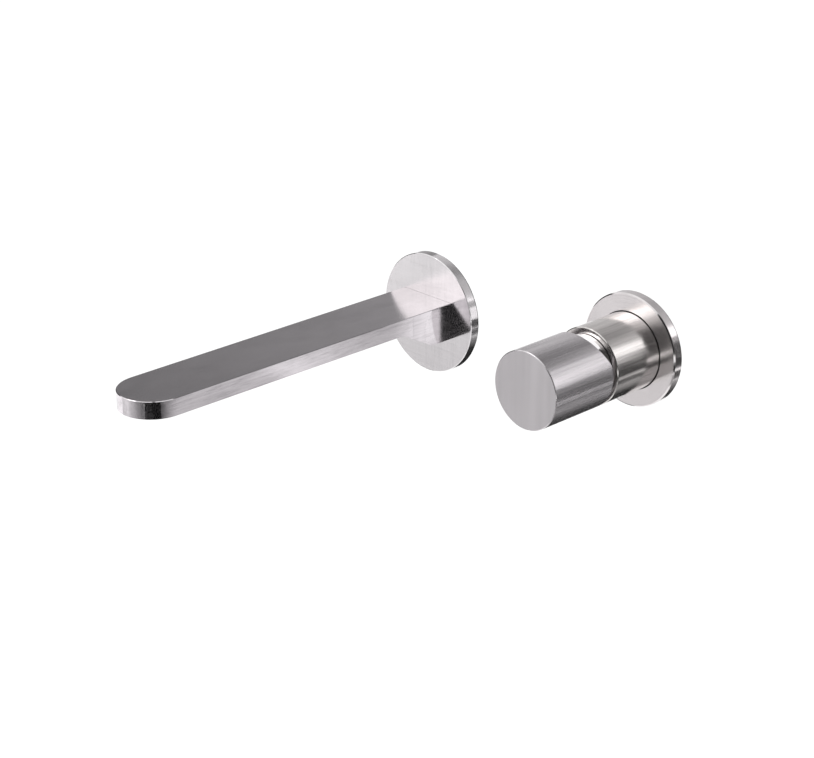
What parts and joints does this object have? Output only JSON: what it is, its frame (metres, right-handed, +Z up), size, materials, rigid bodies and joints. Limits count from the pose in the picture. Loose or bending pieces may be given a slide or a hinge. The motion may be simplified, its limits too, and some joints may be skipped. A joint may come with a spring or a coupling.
{
  "type": "wall-mounted basin mixer",
  "caption": "Wall-mounted basin mixer: a long flat spout with a round tip on a round flange, and a separate tilting cylindrical knob on its own flange.",
  "frame": {"origin": "centre of the spout's threaded tail where it enters the wall's surface", "axes": "+X along the wall from the spout to the knob, +Y into the wall, +Z up"},
  "size_m": [0.1845, 0.204, 0.0735],
  "materials": {
    "stainless": "fine brushed, satin",
    "steel_parts": "turned",
    "dark_steel": "blackened",
    "brass": "turned, raw",
    "rubber": "matt",
    "acetal": "moulded",
    "grey_plastic": "moulded",
    "ceramic": "lapped ceramic, opaque"
  },
  "bodies": {
    "root": {"spout_arm": "stainless", "waterway_cover": "stainless", "spout_adapter": "brass", "spout_adapter_orings": "rubber", "spout_grub_screw": "dark_steel", "spout_flange": "stainless", "spout_flange_gasket": "rubber", "aerator_body": "grey_plastic", "aerator_screen": "steel_parts", "aerator_seal": "rubber", "handle_flange": "stainless", "handle_flange_gasket": "rubber", "handle_flange_oring": "rubber", "valve_body": "brass", "sleeve": "stainless", "sleeve_orings": "rubber", "cartridge_housing": "acetal", "base_seals": "rubber", "fixed_disc": "ceramic", "cartridge_nut": "brass", "cartridge_cover": "stainless"},
    "rotor": {"lever_guide": "acetal", "lever_pin": "steel_parts"},
    "disc": {"moving_disc": "ceramic", "disc_carrier": "acetal"},
    "knob": {"lever": "steel_parts", "knob_shell": "stainless", "knob_insert": "acetal", "knob_grub_screw": "dark_steel", "knob_plug": "grey_plastic"}
  },
  "joints": [
    {"name": "knob_turn", "type": "hinge", "parent": "root", "child": "rotor", "pos_m": [0.128, -0.027, 0.017], "axis": [0, 1, 0], "range_deg": [-50, 50]},
    {"name": "knob_tilt", "type": "hinge", "parent": "rotor", "child": "knob", "pos_m": [0.128, -0.027, 0.017], "axis": [-1, 0, 0], "range_deg": [0, 20]},
    {"name": "disc_slide", "type": "slide", "parent": "rotor", "child": "disc", "axis": [0, 0, -1], "range_m": [0, 0.0021]}
  ],
  "couplings": [
    {"joint": "disc_slide", "follows": "knob_tilt", "m_per_rad": 0.006}
  ]
}
